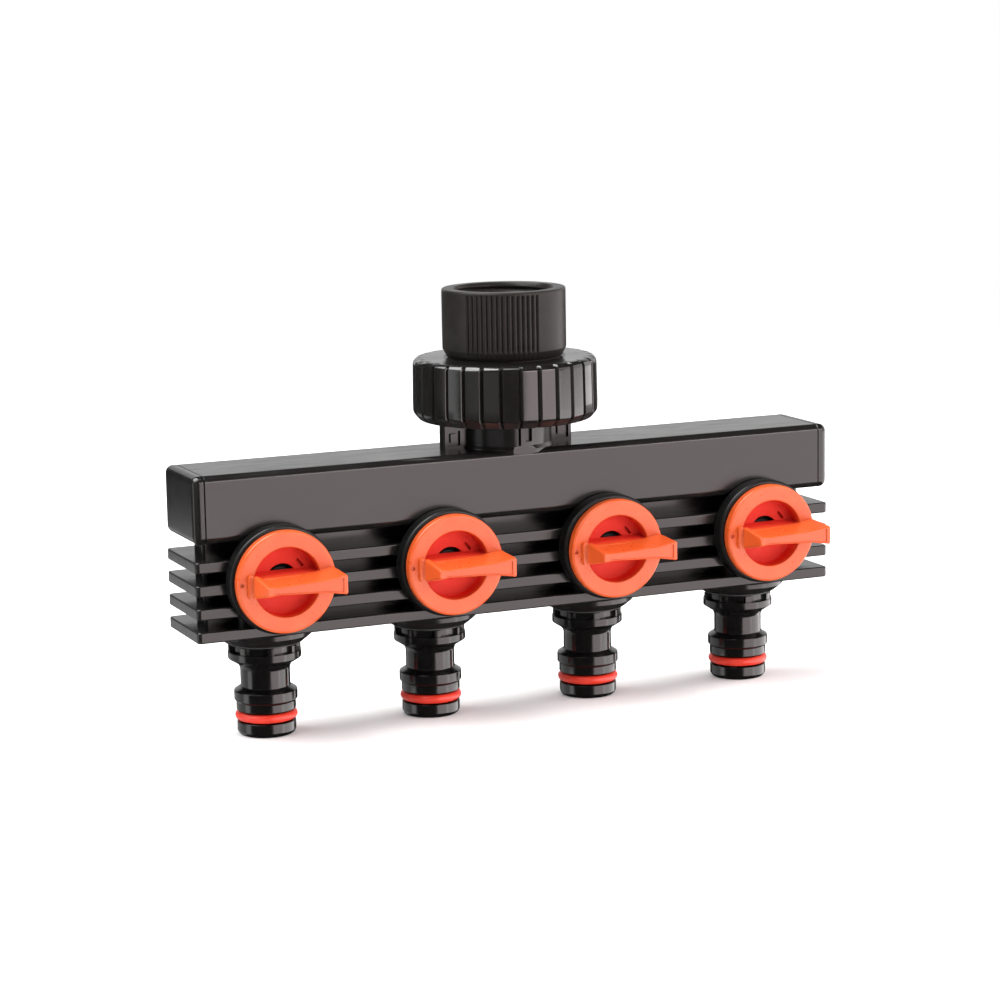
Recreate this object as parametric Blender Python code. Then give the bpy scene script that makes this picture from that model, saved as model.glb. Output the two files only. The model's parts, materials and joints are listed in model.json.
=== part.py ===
"""Four-way tap manifold for garden hoses, built as an assembly of separate pieces.

A moulded beam carries four quarter-turn taps. Each tap has an orange knob in front and a
quick-click hose spigot below. A swivel union nut and a threaded adaptor on top fit the garden tap.
Heights in the constants count upwards from the ends of the spigots, in millimetres. The part's
origin is the centre of the adaptor's mouth, with +X along the beam and -Y towards the knobs.
"""
import math

import bmesh
import bpy
from mathutils import Matrix, Vector

MM = 0.001
GAP = 0.3                                   # clearance between neighbouring pieces
HAIR = 0.1                                  # step that keeps two faces from lying in one plane
SEAM = 0.05                                 # between the nodes that make up the one body moulding

# Overall layout
TOP_HEIGHT = 111.7                          # mouth of the adaptor, the origin's height
OUTLETS = 4
OUTLET_PITCH = 46.0
OUTLET_X = [(i - (OUTLETS - 1) / 2) * OUTLET_PITCH for i in range(OUTLETS)]

# Beam, end caps and fins
BEAM_LENGTH = 181.0
BEAM_DEPTH = 24.4
BEAM_BOTTOM, BEAM_TOP = 52.8, 70.2
BEAM_WALL = 2.4
CAP_THICKNESS = 3.0
CAP_PLUG_DEPTH = 5.0
EDGE_RADIUS = 1.6
FINS = 4
FIN_TOP = 48.5                              # upper face of the highest fin
FIN_PITCH = 5.97
FIN_THICKNESS = 2.9
FIN_BOTTOM = FIN_TOP - (FINS - 1) * FIN_PITCH - FIN_THICKNESS
WEB_HALF_LENGTH = 86.0
WEB_THICKNESS = 7.0
HOUSING_HALF = 12.8                         # half length of the web and fins that go with a tap

# Tap barrels and outlets in the body
TAP_HEIGHT = 43.0                           # axis of the four taps
BARREL_RADIUS = 10.5
BARREL_BORE = 7.9
BARREL_BACK = 9.6                           # closed rear end, in Y
BARREL_FLOOR = 7.2                          # rear end of the bore, in Y
BARREL_FRONT = -(BEAM_DEPTH / 2 + HAIR)
PORT_RADIUS = 3.6
DUCT_RADIUS = 9.4
BOSS_RADIUS = 12.4
BOSS_BOTTOM = 24.5
SOCKET_RADIUS = 7.3
SOCKET_TOP = 31.4

# Inlet neck and swivel joint
NECK_RADIUS = 12.1
NECK_TOP = 84.0
NECK_BORE = 8.8
GROOVE_RADIUS = 11.0
GROOVE_BOTTOM, GROOVE_TOP = 80.0, 82.2
LUG_REACH = 18.5
LUG_THICKNESS = 3.0
LUG_TOP = 76.8
NUT_RADIUS = 24.4
NUT_BOTTOM, NUT_TOP = 77.3, 93.6
NUT_FLANGE = 2.6
NUT_THREAD = 15.4
NUT_RIBS = 30
RIB_DEPTH = 0.7
ADAPTOR_RADIUS = 16.3
ADAPTOR_BOTTOM = 86.7
ADAPTOR_THREAD = 14.9
MOUTH_RADIUS = 13.2                         # the 3/4 inch female thread
MOUTH_FLOOR = 97.0
THROAT_RADIUS = 8.8

# Knob, collar and valve plug, with Y running backwards from the knob's rim
KNOB_RIM = -19.7
KNOB_RADIUS = 13.15
RIM_THICKNESS = 2.7
RECESS_RADIUS = 8.9
RECESS_DEPTH = 4.2
KNOB_FLOOR = 1.5
CUP_RADIUS = 10.4
STEM_HOLE = 4.1
HANDLE_REACH = 9.8                          # how far the handle stands in front of the rim
BLADE_HALF = 1.25
HANDLE_RIGHT = 12.6
FLARE_START = 7.4
FLARE_BASE, FLARE_FRONT = 3.6, 2.4          # half widths of the pointer end
FOOT_X, FOOT_FRONT_X = -10.7, -8.2
FOOT_HALF = 3.6
COLLAR_RADIUS = 14.0
COLLAR_POCKET = 10.8
COLLAR_BACK = BARREL_FRONT - GAP
COLLAR_FRONT = KNOB_RIM + RIM_THICKNESS + GAP
COLLAR_FLOOR = KNOB_RIM + RECESS_DEPTH + KNOB_FLOOR + GAP
SKIRT_BACK = -10.0
SKIRT_RADIUS = 7.6
PLUG_RADIUS = 7.55
PLUG_FRONT, PLUG_BACK = -9.7, 6.8
STEM_RADIUS = 4.5
COLLAR_BORE = 4.8
DRIVE_RADIUS = 3.2
DRIVE_FRONT = -14.9

# Seals
SEAL_GROOVE = 5.6
SEAL_SECTION = 0.85
SEAL_RING = 6.7
SEAL_Y = (-7.2, 5.0)
GROOVE_HALF = 1.15
SEAT_INNER, SEAT_OUTER = 4.0, 5.6           # washer round the port above each plug
SEAT_BOTTOM, SEAT_TOP = 50.9, 52.4

# Hose spigot, radii by height
SPIGOT_BORE = 4.6
ORING_HEIGHT = 5.0
ORING_RING, ORING_SECTION = 7.0, 1.05
SHANK_RADIUS = 6.9
SPIGOT_TOP = 31.0
SPIGOT_OUTLINE = [(7.0, 0.0), (7.6, 0.8), (7.6, 3.6), (5.65, 3.6), (5.65, 6.4), (7.7, 6.4),
                  (7.7, 9.0), (8.2, 9.3), (8.2, 11.6), (6.45, 12.6), (6.45, 17.6),
                  (9.45, 20.1), (9.45, 22.1), (SHANK_RADIUS, 22.1), (SHANK_RADIUS, SPIGOT_TOP)]
GASKET_INNER, GASKET_OUTER = 7.2, 9.0
GASKET_BOTTOM, GASKET_TOP = 22.4, 24.2

BLACK = (0.028, 0.027, 0.027, 1.0)
ORANGE = (0.90, 0.16, 0.035, 1.0)
RED = (0.80, 0.055, 0.025, 1.0)
RUBBER = (0.02, 0.02, 0.02, 1.0)


# ---------------------------------------------------------------- helpers

def material(name, colour, roughness):
    """A Principled material with one colour and roughness."""
    made = bpy.data.materials.new(name)
    made.use_nodes = True
    shader = made.node_tree.nodes["Principled BSDF"]
    shader.inputs["Base Color"].default_value = colour
    shader.inputs["Roughness"].default_value = roughness
    return made


def place(name, mesh, colour, roughness, origin=(0, 0, 0)):
    """Put a bmesh in the scene. Its points count from `origin`, whose third value is a height."""
    data = bpy.data.meshes.new(name)
    bmesh.ops.remove_doubles(mesh, verts=mesh.verts, dist=1e-4)
    bmesh.ops.recalc_face_normals(mesh, faces=mesh.faces)
    bmesh.ops.scale(mesh, vec=(MM, MM, MM), verts=mesh.verts)
    mesh.to_mesh(data)
    mesh.free()
    data.shade_smooth()
    data.set_sharp_from_angle(angle=math.radians(35))
    data.materials.append(material(name + "_finish", colour, roughness))
    thing = bpy.data.objects.new(name, data)
    x, y, height = origin
    thing.location = (x * MM, y * MM, (height - TOP_HEIGHT) * MM)
    bpy.context.scene.collection.objects.link(thing)
    return thing


def cutter(name, mesh, target, operation="DIFFERENCE"):
    """Place a hidden tool and let `target` use it in a Boolean."""
    tool = place(name, mesh, BLACK, 0.5)
    tool.location = target.location
    tool.hide_render = True
    tool.display_type = "WIRE"
    step = target.modifiers.new(name, "BOOLEAN")
    step.operation = operation
    step.solver = "EXACT"
    step.object = tool


def box(mesh, low, high):
    """Add a closed box between two corners."""
    centre = [(a + b) / 2 for a, b in zip(low, high)]
    size = [b - a for a, b in zip(low, high)]
    matrix = Matrix.Translation(centre) @ Matrix.Diagonal((*size, 1))
    return bmesh.ops.create_cube(mesh, size=1.0, matrix=matrix)["verts"]


def turn(mesh, outline, segments, centre=(0, 0, 0), axis="Z", closed=False, sweep=math.tau):
    """Turn an outline of (radius, height) points about an axis. A closed outline makes a ring."""
    full = sweep >= math.tau - 1e-6
    steps = segments if full else segments + 1
    rings = []
    for radius, height in outline:
        if radius < 1e-6:
            rings.append([mesh.verts.new((0, 0, height))] * steps)
            continue
        angles = [sweep * i / segments for i in range(steps)]
        rings.append([mesh.verts.new((radius * math.cos(a), radius * math.sin(a), height))
                      for a in angles])
    pairs = list(zip(rings, rings[1:]))
    if closed:
        pairs.append((rings[-1], rings[0]))
    for lower, upper in pairs:
        for i in range(segments):
            j = (i + 1) % steps
            corners = [lower[i], lower[j], upper[j], upper[i]]
            corners = list(dict.fromkeys(corners))
            mesh.faces.new(corners)
    if not full:
        mesh.faces.new([ring[0] for ring in rings])
        mesh.faces.new([ring[-1] for ring in rings])
    if not closed and outline[0][0] > 1e-6:
        mesh.faces.new(rings[0])
        mesh.faces.new(rings[-1])
    made = list({vert for ring in rings for vert in ring})
    if axis == "Y":
        bmesh.ops.rotate(mesh, cent=(0, 0, 0), verts=made,
                         matrix=Matrix(((1, 0, 0), (0, 0, 1), (0, -1, 0))))
    bmesh.ops.translate(mesh, vec=Vector(centre), verts=made)
    return made


def cylinder(mesh, radius, low, high, segments, centre=(0, 0, 0), axis="Z"):
    """A closed cylinder between two heights along its axis."""
    return turn(mesh, [(radius, low), (radius, high)], segments, centre, axis)


def torus_outline(ring, section, sides, height=0.0):
    """The round section of an O-ring as (radius, height) points."""
    angles = [math.tau * i / sides for i in range(sides)]
    return [(ring + section * math.cos(a), height + section * math.sin(a)) for a in angles]


def loft(mesh, lower, upper):
    """A closed solid between two outlines with the same number of points."""
    first = [mesh.verts.new(point) for point in lower]
    last = [mesh.verts.new(point) for point in upper]
    mesh.faces.new(first)
    mesh.faces.new(last)
    for i in range(len(first)):
        j = (i + 1) % len(first)
        mesh.faces.new([first[i], first[j], last[j], last[i]])


# ---------------------------------------------------------------- body and end caps

def beam_section(inset, bottom, top, radius):
    """Corner points of the beam's rounded cross section, as (y, height)."""
    half = BEAM_DEPTH / 2 - inset
    centres = [(half - radius, top - radius), (radius - half, top - radius),
               (radius - half, bottom + radius), (half - radius, bottom + radius)]
    points = []
    for quarter, (y, height) in enumerate(centres):
        for step in range(3):
            angle = math.radians(90 * quarter + 45 * step)
            points.append((y + radius * math.cos(angle), height + radius * math.sin(angle)))
    return points


def beam():
    """The hollow beam, open at both ends, with the inlet above and an outlet over each tap."""
    half = BEAM_LENGTH / 2 - CAP_THICKNESS - GAP
    section = beam_section(0, BEAM_BOTTOM, BEAM_TOP, EDGE_RADIUS)
    mesh = bmesh.new()
    loft(mesh, [(-half, y, h) for y, h in section], [(half, y, h) for y, h in section])
    made = place("manifold_beam", mesh, BLACK, 0.32)

    channel = bmesh.new()
    section = beam_section(BEAM_WALL, BEAM_BOTTOM + BEAM_WALL, BEAM_TOP - BEAM_WALL, 0.8)
    reach = BEAM_LENGTH / 2
    loft(channel, [(-reach, y, h) for y, h in section], [(reach, y, h) for y, h in section])
    cutter("tool_channel", channel, made)
    ways = bmesh.new()
    cylinder(ways, NECK_BORE, BEAM_TOP - BEAM_WALL - 1, BEAM_TOP + 1, 20)
    for x in OUTLET_X:
        cylinder(ways, PORT_RADIUS, BEAM_BOTTOM - 1, BEAM_BOTTOM + BEAM_WALL + 1, 12, (x, 0, 0))
    cutter("tool_ways", ways, made)


def neck():
    """The inlet neck with the retaining ring's groove and the two lugs beside it."""
    mesh = bmesh.new()
    turn(mesh, [(NECK_RADIUS, BEAM_TOP + SEAM), (NECK_RADIUS, GROOVE_BOTTOM),
                (GROOVE_RADIUS, GROOVE_BOTTOM), (GROOVE_RADIUS, GROOVE_TOP),
                (NECK_RADIUS, GROOVE_TOP), (NECK_RADIUS, NECK_TOP)], 24)
    made = place("manifold_neck", mesh, BLACK, 0.32)
    lugs = bmesh.new()
    box(lugs, (-LUG_REACH, -LUG_THICKNESS / 2, BEAM_TOP + SEAM),
        (LUG_REACH, LUG_THICKNESS / 2, LUG_TOP))
    cutter("tool_lugs", lugs, made, "UNION")
    inlet = bmesh.new()
    cylinder(inlet, NECK_BORE, BEAM_TOP - 1, NECK_TOP + 1, 20)
    cutter("tool_inlet", inlet, made)


def web_and_fins(name, low, high):
    """The web and the fins under the beam, between two stations along it."""
    mesh = bmesh.new()
    box(mesh, (max(low, -WEB_HALF_LENGTH), -WEB_THICKNESS / 2, FIN_BOTTOM + HAIR),
        (min(high, WEB_HALF_LENGTH), WEB_THICKNESS / 2, BEAM_BOTTOM - SEAM))
    made = place(name, mesh, BLACK, 0.32)
    fins = bmesh.new()
    for number in range(FINS):
        upper = FIN_TOP - number * FIN_PITCH
        box(fins, (low, -BEAM_DEPTH / 2, upper - FIN_THICKNESS), (high, BEAM_DEPTH / 2, upper))
    cutter("tool_fins", fins, made, "UNION")
    return made


def tap_housing(number, x):
    """The barrel and the outlet boss of one tap, with their bores and the fins beside them."""
    made = web_and_fins(f"tap_housing_{number}", x - HOUSING_HALF, x + HOUSING_HALF)
    barrel = bmesh.new()
    cylinder(barrel, BARREL_RADIUS, BARREL_FRONT, BARREL_BACK, 20, (x, 0, TAP_HEIGHT), "Y")
    cutter("tool_barrel", barrel, made, "UNION")
    duct = bmesh.new()
    turn(duct, [(BOSS_RADIUS - 2.2, BOSS_BOTTOM), (BOSS_RADIUS, BOSS_BOTTOM + 1.8),
                (BOSS_RADIUS, FIN_BOTTOM + HAIR), (DUCT_RADIUS, FIN_BOTTOM + 1),
                (DUCT_RADIUS, TAP_HEIGHT - BARREL_BORE)], 18, (x, 0, 0))
    cutter("tool_duct", duct, made, "UNION")

    above = bmesh.new()
    box(above, (x - 2 * HOUSING_HALF, -BEAM_DEPTH, BEAM_BOTTOM - SEAM),
        (x + 2 * HOUSING_HALF, BEAM_DEPTH, BEAM_TOP))
    cutter("tool_above", above, made)
    bore = bmesh.new()
    cylinder(bore, BARREL_BORE, BARREL_FRONT - 1, BARREL_FLOOR, 20, (x, 0, TAP_HEIGHT), "Y")
    cutter("tool_bore", bore, made)
    port = bmesh.new()
    cylinder(port, PORT_RADIUS, SOCKET_TOP - 1, BEAM_BOTTOM + 1, 12, (x, 0, 0))
    cutter("tool_port", port, made)
    socket = bmesh.new()
    cylinder(socket, SOCKET_RADIUS, BOSS_BOTTOM - 1, SOCKET_TOP, 16, (x, 0, 0))
    cutter("tool_socket", socket, made)
    seat = bmesh.new()
    cylinder(seat, SEAT_OUTER + GAP, TAP_HEIGHT, SEAT_TOP + GAP, 12, (x, 0, 0))
    cutter("tool_seat", seat, made)


def fin_banks():
    """The web and fins on either side of each housing."""
    step = HOUSING_HALF + SEAM
    starts = [-BEAM_LENGTH / 2] + [x + step for x in OUTLET_X]
    ends = [x - step for x in OUTLET_X] + [BEAM_LENGTH / 2]
    for number, (low, high) in enumerate(zip(starts, ends), start=1):
        web_and_fins(f"fin_bank_{number}", low, high)


def end_cap(name, side):
    """A welded cap: a rounded plate outside and a plug that enters the channel."""
    inner = BEAM_LENGTH / 2 - CAP_THICKNESS
    plate = beam_section(0, BEAM_BOTTOM, BEAM_TOP, EDGE_RADIUS)
    face = beam_section(1.0, BEAM_BOTTOM + 1.0, BEAM_TOP - 1.0, EDGE_RADIUS)
    plug = beam_section(BEAM_WALL + GAP, BEAM_BOTTOM + BEAM_WALL + GAP,
                        BEAM_TOP - BEAM_WALL - GAP, 0.6)
    stations = [(inner - CAP_PLUG_DEPTH, plug), (inner, plug), (inner, plate),
                (inner + CAP_THICKNESS - 1.0, plate), (inner + CAP_THICKNESS, face)]
    mesh = bmesh.new()
    rings = [[mesh.verts.new((side * x, y, h)) for y, h in outline] for x, outline in stations]
    mesh.faces.new(rings[0])
    mesh.faces.new(rings[-1])
    for first, second in zip(rings, rings[1:]):
        for i in range(len(first)):
            j = (i + 1) % len(first)
            mesh.faces.new([first[i], first[j], second[j], second[i]])
    place(name, mesh, BLACK, 0.3)


# ---------------------------------------------------------------- inlet

def union_nut():
    """The captive nut, ribbed outside, with an inward flange that hangs on the neck's ring."""
    mesh = bmesh.new()
    grip = NUT_RADIUS - RIB_DEPTH
    levels = [(NUT_BOTTOM, 1.4), (NUT_BOTTOM + 1.4, 0.0), (NUT_TOP - 1.6, 0.0), (NUT_TOP, 1.6)]
    shares = [(0.0, grip), (0.12, NUT_RADIUS), (0.88, NUT_RADIUS)]
    rings = []
    for height, inset in levels:
        ring = []
        for rib in range(NUT_RIBS):
            for share, radius in shares:
                angle = math.tau * (rib + share) / NUT_RIBS
                reach = radius - inset
                ring.append(mesh.verts.new((reach * math.cos(angle), reach * math.sin(angle), height)))
        rings.append(ring)
    inside = [(NUT_THREAD, NUT_TOP), (NUT_THREAD, NUT_BOTTOM + NUT_FLANGE),
              (NECK_RADIUS + 0.4, NUT_BOTTOM + NUT_FLANGE), (NECK_RADIUS + 0.4, NUT_BOTTOM)]
    count = len(rings[0])
    for radius, height in inside:
        angles = [math.tau * i / count for i in range(0, count, len(shares))]
        rings.append([mesh.verts.new((radius * math.cos(a), radius * math.sin(a), height))
                      for a in angles])
    outer = rings[:4]
    inner = rings[4:]
    for first, second in list(zip(outer, outer[1:])) + list(zip(inner, inner[1:])):
        size = len(first)
        for i in range(size):
            j = (i + 1) % size
            mesh.faces.new([first[i], first[j], second[j], second[i]])
    for wide, narrow in ((outer[-1], inner[0]), (outer[0], inner[-1])):
        for rib in range(NUT_RIBS):
            nxt = (rib + 1) % NUT_RIBS
            start = rib * len(shares)
            around = [wide[(start + k) % count] for k in range(len(shares) + 1)]
            mesh.faces.new(around + [narrow[nxt], narrow[rib]])
    place("union_nut", mesh, BLACK, 0.3)


def inlet_pieces():
    """What stands over the neck: retaining ring, seals and the threaded adaptor."""
    ring = bmesh.new()
    low, high = GROOVE_BOTTOM + 0.4, GROOVE_TOP - 0.4
    inner, outer = GROOVE_RADIUS + 0.3, NUT_THREAD - 1.0
    turn(ring, [(inner, low), (outer, low), (outer, high), (inner, high)], 18,
         closed=True, sweep=math.radians(318))
    place("nut_retaining_ring", ring, BLACK, 0.45)

    washer = bmesh.new()
    low, high = NECK_TOP + GAP, ADAPTOR_BOTTOM - GAP
    turn(washer, [(THROAT_RADIUS + 0.4, low), (ADAPTOR_THREAD - 0.5, low),
                  (ADAPTOR_THREAD - 0.5, high), (THROAT_RADIUS + 0.4, high)], 20, closed=True)
    place("union_washer", washer, RUBBER, 0.6)

    adaptor = bmesh.new()
    shoulder = NUT_TOP + 0.4
    turn(adaptor, [(THROAT_RADIUS, ADAPTOR_BOTTOM), (ADAPTOR_THREAD - 0.8, ADAPTOR_BOTTOM),
                   (ADAPTOR_THREAD, ADAPTOR_BOTTOM + 0.8), (ADAPTOR_THREAD, shoulder),
                   (ADAPTOR_RADIUS, shoulder + 1.8), (ADAPTOR_RADIUS, TOP_HEIGHT - 0.8),
                   (ADAPTOR_RADIUS - 0.8, TOP_HEIGHT), (MOUTH_RADIUS, TOP_HEIGHT),
                   (MOUTH_RADIUS, MOUTH_FLOOR), (THROAT_RADIUS, MOUTH_FLOOR)], 28, closed=True)
    place("inlet_adaptor", adaptor, BLACK, 0.3)

    tap_washer = bmesh.new()
    low = MOUTH_FLOOR + GAP
    high = low + 2.5
    turn(tap_washer, [(THROAT_RADIUS + 0.5, low), (MOUTH_RADIUS - 0.4, low),
                      (MOUTH_RADIUS - 0.4, high), (THROAT_RADIUS + 0.5, high)], 20, closed=True)
    place("tap_washer", tap_washer, RUBBER, 0.6)


# ---------------------------------------------------------------- one tap

def handle_outline(front):
    """The handle's outline at the rim, or at its front edge, as (x, z) points."""
    flare = FLARE_FRONT if front else FLARE_BASE
    foot = BLADE_HALF if front else FOOT_HALF
    left = FOOT_FRONT_X if front else FOOT_X
    upper = [(left, foot), (left + 3.6, BLADE_HALF), (FLARE_START, BLADE_HALF),
             (HANDLE_RIGHT, flare)]
    return upper + [(x, -z) for x, z in reversed(upper)]


def knob(name, x):
    """The orange knob: a rimmed cup with a blade handle across it that points right."""
    back = KNOB_RIM + RIM_THICKNESS
    floor = KNOB_RIM + RECESS_DEPTH
    cup = bmesh.new()
    turn(cup, [(STEM_HOLE, floor), (RECESS_RADIUS, floor), (RECESS_RADIUS, KNOB_RIM),
               (KNOB_RADIUS - 0.5, KNOB_RIM), (KNOB_RADIUS, KNOB_RIM + 0.5), (KNOB_RADIUS, back),
               (CUP_RADIUS, back), (CUP_RADIUS, floor + KNOB_FLOOR),
               (STEM_HOLE, floor + KNOB_FLOOR)], 22, axis="Y", closed=True)
    made = place(name, cup, ORANGE, 0.35, (x, 0, TAP_HEIGHT))
    handle = bmesh.new()
    y = KNOB_RIM - HANDLE_REACH
    loft(handle, [(px, KNOB_RIM + HAIR * 3, pz) for px, pz in handle_outline(False)],
         [(px, y, pz) for px, pz in handle_outline(True)])
    cutter("tool_handle_" + name, handle, made, "UNION")
    blade = bmesh.new()
    inner = RECESS_RADIUS + HAIR
    box(blade, (-inner, KNOB_RIM - 1, -BLADE_HALF), (inner, DRIVE_FRONT - 0.5, BLADE_HALF))
    cutter("tool_blade_" + name, blade, made, "UNION")


def valve_plug(name, x):
    """The turned plug: two seal grooves, a cross bore that lies along X when shut, and a stem."""
    near, far = SEAL_Y
    outline = [(0, PLUG_BACK), (PLUG_RADIUS, PLUG_BACK)]
    for middle in (far, near):
        outline += [(PLUG_RADIUS, middle + GROOVE_HALF), (SEAL_GROOVE, middle + GROOVE_HALF),
                    (SEAL_GROOVE, middle - GROOVE_HALF), (PLUG_RADIUS, middle - GROOVE_HALF)]
    outline += [(PLUG_RADIUS, PLUG_FRONT), (STEM_RADIUS, PLUG_FRONT),
                (STEM_RADIUS, COLLAR_FLOOR), (DRIVE_RADIUS, COLLAR_FLOOR),
                (DRIVE_RADIUS, DRIVE_FRONT), (0, DRIVE_FRONT)]
    mesh = bmesh.new()
    turn(mesh, outline, 16, axis="Y")
    made = place(name, mesh, BLACK, 0.4, (x, 0, TAP_HEIGHT))
    bore = bmesh.new()
    turns = cylinder(bore, PORT_RADIUS, -PLUG_RADIUS - 1, PLUG_RADIUS + 1, 10)
    bmesh.ops.rotate(bore, cent=(0, 0, 0), verts=turns, matrix=Matrix.Rotation(math.pi / 2, 3, "Y"))
    cutter("tool_bore_" + name, bore, made)


def collar(name, x):
    """The black collar that closes the barrel round the stem and carries the knob's cup."""
    mesh = bmesh.new()
    turn(mesh, [(COLLAR_BORE, SKIRT_BACK), (SKIRT_RADIUS, SKIRT_BACK), (SKIRT_RADIUS, COLLAR_BACK),
                (COLLAR_RADIUS, COLLAR_BACK), (COLLAR_RADIUS, COLLAR_FRONT),
                (COLLAR_POCKET, COLLAR_FRONT), (COLLAR_POCKET, COLLAR_FLOOR),
                (COLLAR_BORE, COLLAR_FLOOR)], 20, axis="Y", closed=True)
    place(name, mesh, BLACK, 0.35, (x, 0, TAP_HEIGHT))


def seals(number, x):
    """The plug's two O-rings and the port's seat washer."""
    for label, y in zip(("front", "rear"), SEAL_Y):
        mesh = bmesh.new()
        turn(mesh, torus_outline(SEAL_RING, SEAL_SECTION, 4), 14, axis="Y", closed=True)
        place(f"plug_{label}_oring_{number}", mesh, RUBBER, 0.5, (x, y, TAP_HEIGHT))
    seat = bmesh.new()
    turn(seat, [(SEAT_INNER, SEAT_BOTTOM), (SEAT_OUTER, SEAT_BOTTOM), (SEAT_OUTER, SEAT_TOP),
                (SEAT_INNER, SEAT_TOP)], 12, closed=True)
    place(f"port_seal_{number}", seat, RUBBER, 0.6, (x, 0, 0))


def spigot(number, x):
    """The quick-click hose spigot with its red O-ring and flat gasket."""
    mesh = bmesh.new()
    turn(mesh, [(SPIGOT_BORE, 0.0)] + SPIGOT_OUTLINE + [(SPIGOT_BORE, SPIGOT_TOP)], 16, closed=True)
    place(f"hose_spigot_{number}", mesh, BLACK, 0.3, (x, 0, 0))
    ring = bmesh.new()
    turn(ring, torus_outline(ORING_RING, ORING_SECTION, 5, ORING_HEIGHT), 16, closed=True)
    place(f"spigot_oring_{number}", ring, RED, 0.4, (x, 0, 0))
    gasket = bmesh.new()
    turn(gasket, [(GASKET_INNER, GASKET_BOTTOM), (GASKET_OUTER, GASKET_BOTTOM),
                  (GASKET_OUTER, GASKET_TOP), (GASKET_INNER, GASKET_TOP)], 16, closed=True)
    place(f"spigot_gasket_{number}", gasket, RUBBER, 0.6, (x, 0, 0))


for leftover in list(bpy.data.objects):
    bpy.data.objects.remove(leftover, do_unlink=True)
beam()
neck()
fin_banks()
end_cap("end_cap_left", -1)
end_cap("end_cap_right", 1)
union_nut()
inlet_pieces()
for count, position in enumerate(OUTLET_X, start=1):
    tap_housing(count, position)
    knob(f"knob_{count}", position)
    valve_plug(f"valve_plug_{count}", position)
    collar(f"tap_collar_{count}", position)
    seals(count, position)
    spigot(count, position)
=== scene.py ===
"""The looks of the four-way tap manifold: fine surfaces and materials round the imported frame.

Shapes are built in millimetres and scaled on the way into the scene. Heights count upwards from
the ends of the hose spigots, and every other place comes from the frame's boxes and joints.
"""

import json
import math

import bmesh
import bpy
from mathutils import Matrix, Vector


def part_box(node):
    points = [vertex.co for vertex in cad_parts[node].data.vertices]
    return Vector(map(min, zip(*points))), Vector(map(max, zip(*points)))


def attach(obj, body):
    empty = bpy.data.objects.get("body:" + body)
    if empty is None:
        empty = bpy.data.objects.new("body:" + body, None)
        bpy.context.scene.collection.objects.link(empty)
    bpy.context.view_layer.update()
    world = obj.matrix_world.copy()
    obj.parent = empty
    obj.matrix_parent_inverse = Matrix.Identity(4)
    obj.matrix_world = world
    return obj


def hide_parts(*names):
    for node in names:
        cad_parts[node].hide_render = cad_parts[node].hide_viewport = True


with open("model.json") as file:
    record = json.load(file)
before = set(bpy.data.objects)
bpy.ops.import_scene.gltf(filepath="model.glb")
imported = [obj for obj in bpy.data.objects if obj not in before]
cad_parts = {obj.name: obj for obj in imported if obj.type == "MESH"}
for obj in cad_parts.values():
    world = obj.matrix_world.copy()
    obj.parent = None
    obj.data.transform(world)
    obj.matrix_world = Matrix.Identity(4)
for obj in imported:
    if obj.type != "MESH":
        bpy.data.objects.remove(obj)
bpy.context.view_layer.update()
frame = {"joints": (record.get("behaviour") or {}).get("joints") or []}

MM = 0.001
TAU = math.tau

# ---------------------------------------------------------------- places read from the frame


def span(node):
    """A node's lowest and highest corners, in millimetres."""
    low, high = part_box(node)
    return low / MM, high / MM


FLOOR = span("hose_spigot_1")[0].z                      # ends of the spigots
JOINTS = {joint["name"]: joint for joint in frame["joints"]}
TAPS = [(number, Vector(JOINTS[f"tap_{number}_turn"]["pos_m"]) / MM) for number in (1, 2, 3, 4)]
CAP_LOW, CAP_HIGH = span("end_cap_right")
HALF_LENGTH = CAP_HIGH.x
BEAM_TOP = CAP_HIGH.z
BEAM_BOTTOM = CAP_LOW.z
HALF_DEPTH = CAP_HIGH.y
NUT_LOW, NUT_HIGH = span("union_nut")
ADAPTOR_LOW, ADAPTOR_HIGH = span("inlet_adaptor")
KNOB_LOW, KNOB_HIGH = span("knob_1")


def height(value):
    """The frame's Z of a height above the spigots' ends."""
    return FLOOR + value


# ---------------------------------------------------------------- sizes shared by several pieces

CAP_THICKNESS = 3.0
CAP_SEAM = 0.08                                         # half width of the welded seam
BEAM_MIDDLE = (BEAM_TOP + BEAM_BOTTOM) / 2
BEAM_EDGE = 2.0                                         # rounding of the beam's long edges
SEAM_EDGE = 0.12                                        # rounding of the edges at the seam
FINS = 4
FIN_TOP, FIN_PITCH, FIN_THICKNESS = height(48.5), 5.97, 2.9
FIN_EDGE = 0.4
TAP_Z = TAPS[0][1].z
BARREL_RADIUS, BARREL_BACK = 10.5, 9.6
BARREL_BORE, BARREL_FLOOR = 7.9, 7.2
PORT_RADIUS = 3.6
SOCKET_RADIUS, SOCKET_TOP = 7.3, height(31.4)
NECK_RADIUS, NECK_TOP = 12.1, height(84.0)
NECK_BORE = 8.8
NECK_FLARE = 0.45                                       # the neck widens by this at its foot
LUG_REACH, LUG_HALF, LUG_TOP = 18.5, 1.5, height(76.8)
GROOVE_RADIUS = 11.0                                    # the retaining ring's groove in the neck
GROOVE_BOTTOM, GROOVE_TOP = height(80.0), height(82.2)
ADAPTOR_RADIUS = 16.3
MOUTH_RADIUS, MOUTH_FLOOR = 13.2, height(97.0)
NUT_THREAD = 15.4
HANDLE_REACH = 9.8                                      # how far the handle stands before the rim
RIM_Y = KNOB_LOW.y + HANDLE_REACH
KNOB_RADIUS = (KNOB_HIGH.x - KNOB_LOW.x) / 2
RECESS_RADIUS, RECESS_DEPTH = 8.9, 4.2
STEM_HOLE = 4.1
COLLAR_BACK = -HALF_DEPTH - 0.4
SPIGOT_BORE = 4.6
ORING_HEIGHT = 5.0


# ---------------------------------------------------------------- outlines

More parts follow.
